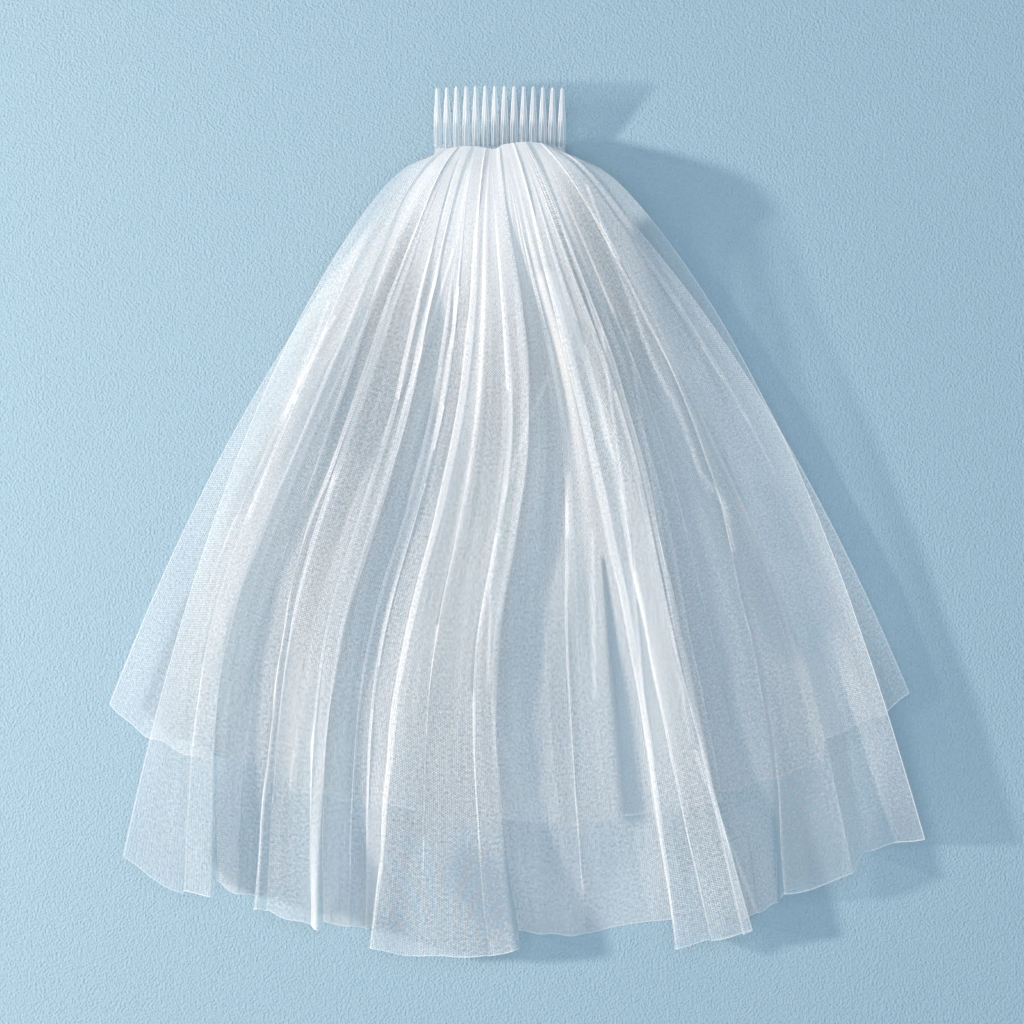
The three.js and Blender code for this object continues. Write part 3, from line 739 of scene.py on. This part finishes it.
comb = {
    "width": 75.0,
    "tilt": 31.0,  # degrees up from the floor
    "rootHeight": 15.049,
    "teeth": 14,
    "length": 35.0,
    "bend": 5.0,  # degrees that a tooth turns down over its length
    "bow": 1.4,  # how much longer the middle teeth are
    "toothWidth": 4.5,
    "tipWidth": 1.6,
    "thickness": 2.8,
    "tipThickness": 1.1,
    "toothRows": 34,
    "tipRound": 0.025,  # share of the length that the tip rounds off over
    # shares of the thickness that the bevel and the back's corners take, and of a side that is rounded
    "bevel": 0.5,
    "easing": 0.14,
    "rounding": 0.16,
    "spineHeight": 8.0,
    "spineThickness": 3.8,
    "spineCorner": 1.0,
    # along a tooth: shares of the way from the tip's width and thickness to the root's, width of the facet
    "sections": [
        (0, 1, 1, 0.62), (0.17, 1, 0.92, 0.5), (0.34, 1, 0.82, 0.38), (0.5, 0.84, 0.7, 0.24),
        (0.63, 0.66, 0.58, 0.1), (0.82, 0.34, 0.3, 0.1), (0.97, 0.05, 0.05, 0.2), (1, -0.2, -0.2, 0.3),
    ],
    # painted highlight: white drawn on the teeth for glints and reflections, strongest on edges and tips,
    # even on the spine
    "highlightRoot": (0.3, 0.3, 1, 1, 0.6, 0.6, 1, 1),  # at the outline's eight corners
    "highlightTip": (0.2, 0.2, 0.8, 1, 0.75, 0.75, 1, 0.8),
    "highlightFace": (0.16, 0.36),  # beside the corners, at the root and at the tip
    "highlightFrom": 0.3,  # where along a tooth the root's painted highlight gives way to the tip's, and how fast
    "highlightOver": 0.22,
    "spineHighlight": 0.25,
}


def combPoints(across, along, off):
    # Places points across the comb, along its teeth (below 0 in the spine) and off its middle plane.
    # The spine is straight and tilted, and the teeth bow down from it on a circle.
    tilt = radians(comb["tilt"])
    bowRadius = comb["length"] / radians(comb["bend"])
    angle = tilt - np.maximum(along, 0) / bowRadius
    straight = np.minimum(along, 0)
    y = straight * cos(tilt) + bowRadius * (sin(tilt) - np.sin(angle)) - off * np.sin(angle)
    z = straight * sin(tilt) + bowRadius * (np.cos(angle) - cos(tilt)) + off * np.cos(angle)
    return np.stack([place["combX"] + across, place["rootY"] + y, comb["rootHeight"] + z], -1)


def roundCorners(corners, share):
    # Each corner of a closed outline becomes three points: a little before it, just inside it, and after.
    before, after = np.roll(corners, 1, axis=-2), np.roll(corners, -1, axis=-2)
    first = corners + (before - corners) * share
    last = corners + (after - corners) * share
    middle = corners * 0.7 + (first + last) * 0.15
    return np.stack([first, middle, last], axis=-2).reshape(*corners.shape[:-2], -1, corners.shape[-1])


def closedRings(rings):
    # Quads round a stack of rings, with an end face at both ends.
    rows, columns = rings.shape[:2]
    faces = [list(face) for face in gridFaces(rows, columns, ringed=True)]
    return faces + [list(range(columns)), list(range(rows * columns - 1, (rows - 1) * columns - 1, -1))]


def makeTeeth():
    # Every tooth is a loft: an eight-cornered outline, flat behind and bevelled in front, whose width and
    # thickness follow the table from root to tip.
    pitch = (comb["width"] - comb["toothWidth"]) / (comb["teeth"] - 1)
    centres = comb["toothWidth"] / 2 - comb["width"] / 2 + pitch * np.arange(comb["teeth"])
    lengths = comb["length"] + comb["bow"] * (1 - (2 * centres / comb["width"]) ** 2)
    t = np.sin(np.linspace(0, np.pi / 2, comb["toothRows"])) ** 1.15  # rows stand closer at the tip
    table = np.array(comb["sections"])
    wide, thick, facetShare = smoothThrough(table[:, 0], table[:, 1:], t).T
    side = (comb["tipWidth"] + (comb["toothWidth"] - comb["tipWidth"]) * wide) / 2
    thickness = comb["tipThickness"] + (comb["thickness"] - comb["tipThickness"]) * thick
    tipRound = np.sqrt(np.clip((1 - t) / comb["tipRound"], 0.02, 1))
    side, thickness = side * tipRound, thickness * tipRound
    facet, back, front = side * facetShare, -thickness / 2, thickness / 2
    easing, shoulder = thickness * comb["easing"], front - thickness * comb["bevel"]
    corners = np.stack([
        np.stack([-side + easing, back], -1), np.stack([side - easing, back], -1),
        np.stack([side, back + easing], -1), np.stack([side, shoulder], -1),
        np.stack([facet, front], -1), np.stack([-facet, front], -1),
        np.stack([-side, shoulder], -1), np.stack([-side, back + easing], -1),
    ], 1)
    outline = roundCorners(corners, comb["rounding"])
    # painted highlight along each outline: corners whiter than beside them, the root's pattern giving way
    # to the tip's
    blend = ease((t - comb["highlightFrom"]) / comb["highlightOver"])[:, None]
    paintedHighlight = np.array(comb["highlightRoot"]) * (1 - blend) + np.array(comb["highlightTip"]) * blend
    face = comb["highlightFace"][0] * (1 - blend) + comb["highlightFace"][1] * blend
    paintedHighlight = np.repeat(paintedHighlight, 3, axis=1)
    paintedHighlight[:, 0::3] *= face
    paintedHighlight[:, 2::3] *= face
    # the first row stands a little inside the spine
    along = np.where(t == 0, -0.6, t[None] * lengths[:, None])[..., None]
    shape = (comb["teeth"], *outline.shape[:2])
    points = combPoints(
        np.broadcast_to(centres[:, None, None] + outline[None, ..., 0], shape),
        np.broadcast_to(along, shape),
        np.broadcast_to(outline[None, ..., 1], shape),
    )
    return points, np.broadcast_to(paintedHighlight, shape)


def makeSpine():
    # A bar: a rounded rectangle carried along the comb, drawn in at both ends like a pillow's.
    half, corner = comb["width"] / 2, comb["spineCorner"]
    turn = np.linspace(0, 2 * np.pi, 32, endpoint=False) + np.pi / 32
    low, flat = comb["spineHeight"] / 2 - corner, comb["spineThickness"] / 2 - corner
    along = np.sign(np.cos(turn)) * low + corner * np.cos(turn)
    off = np.sign(np.sin(turn)) * flat + corner * np.sin(turn)
    x = np.sin(np.linspace(-np.pi / 2, np.pi / 2, 60)) * half
    drawn = np.clip(1 - (abs(x) / half) ** 60, 0.0004, 1) ** 0.5
    shape = (len(x), len(turn))
    return combPoints(
        np.broadcast_to(x[:, None], shape),
        along * drawn[:, None] - comb["spineHeight"] / 2,
        off * drawn[:, None],
    )


def makeComb():
    # The spine and all the teeth in one mesh of closed lofts.
    teeth, paintedHighlight = makeTeeth()
    spine = makeSpine()
    points, faces, count = [], [], 0
    for rings in [*teeth, spine]:
        points.append(rings.reshape(-1, 3))
        faces += [[corner + count for corner in face] for face in closedRings(rings)]
        count += points[-1].shape[0]
    made = makeObject("clearComb", np.concatenate(points), faces)
    # the painted highlight at every point of the teeth, and an even one on the spine
    values = np.concatenate([paintedHighlight.ravel(), np.full(spine.size // 3, comb["spineHighlight"])])
    made.data.attributes.new("paintedHighlight", "FLOAT", "POINT").data.foreach_set("value", values)
    made.data.materials.append(clearPlastic)
    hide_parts("comb")
    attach(made, "root")
    print("comb finished", len(faces), "faces")
    return made


makeComb()

signs = np.array([(-1, -1, 0), (1, -1, 0), (1, 1, 0), (-1, 1, 0)])
floor = makeObject("floor", signs * floorLook["half"] + [0, 0, floorLook["level"]], [(0, 1, 2, 3)], False)
floor.data.materials.append(makeFloorFinish())

light = {
    "keyAt": (-1480.0, 5.0, 930.0),
    "keySize": 150.0,
    "keyPower": 38.5,
    "keyColor": (1.0, 0.805, 0.665),
    "topAt": (-150.0, 150.0, 2300.0),
    "topSize": 1600.0,
    "topPower": 27.0,
    "topColor": (0.86, 0.94, 1.0),
    "skyColor": (0.84, 0.925, 1.0),
    "sky": 0.55,
}


def addArea(name, at, size, power, color):
    # A round lamp that points at the middle of the veil.
    lamp = bpy.data.lights.new(name, "AREA")
    lamp.shape = "DISK"
    lamp.size = size * mm
    lamp.energy = power
    lamp.color = color
    made = bpy.data.objects.new(name, lamp)
    made.location = np.array(at) * mm
    target = Vector((0, 0, 0)) - made.location
    made.rotation_euler = target.to_track_quat("-Z", "Y").to_euler()
    bpy.context.scene.collection.objects.link(made)


addArea("keyLight", light["keyAt"], light["keySize"], light["keyPower"], light["keyColor"])
addArea("topLight", light["topAt"], light["topSize"], light["topPower"], light["topColor"])
world = bpy.data.worlds.new("studio")
bpy.context.scene.world = world
world.use_nodes = True
sky = world.node_tree.nodes["Background"]
sky.inputs["Color"].default_value = (*light["skyColor"], 1)
sky.inputs["Strength"].default_value = light["sky"]

lens = bpy.data.cameras.new("camera")
lens.lens = view["lens"]
lens.sensor_width = view["sensor"]
camera = bpy.data.objects.new("camera", lens)
camera.location = np.array(view["at"]) * mm
bpy.context.scene.collection.objects.link(camera)
bpy.context.scene.camera = camera
bpy.context.scene.view_settings.view_transform = "Standard"
cycles = bpy.context.scene.cycles
cycles.transparent_max_bounces = 24
cycles.max_bounces = 4
cycles.diffuse_bounces = 1
print("camera and light set")
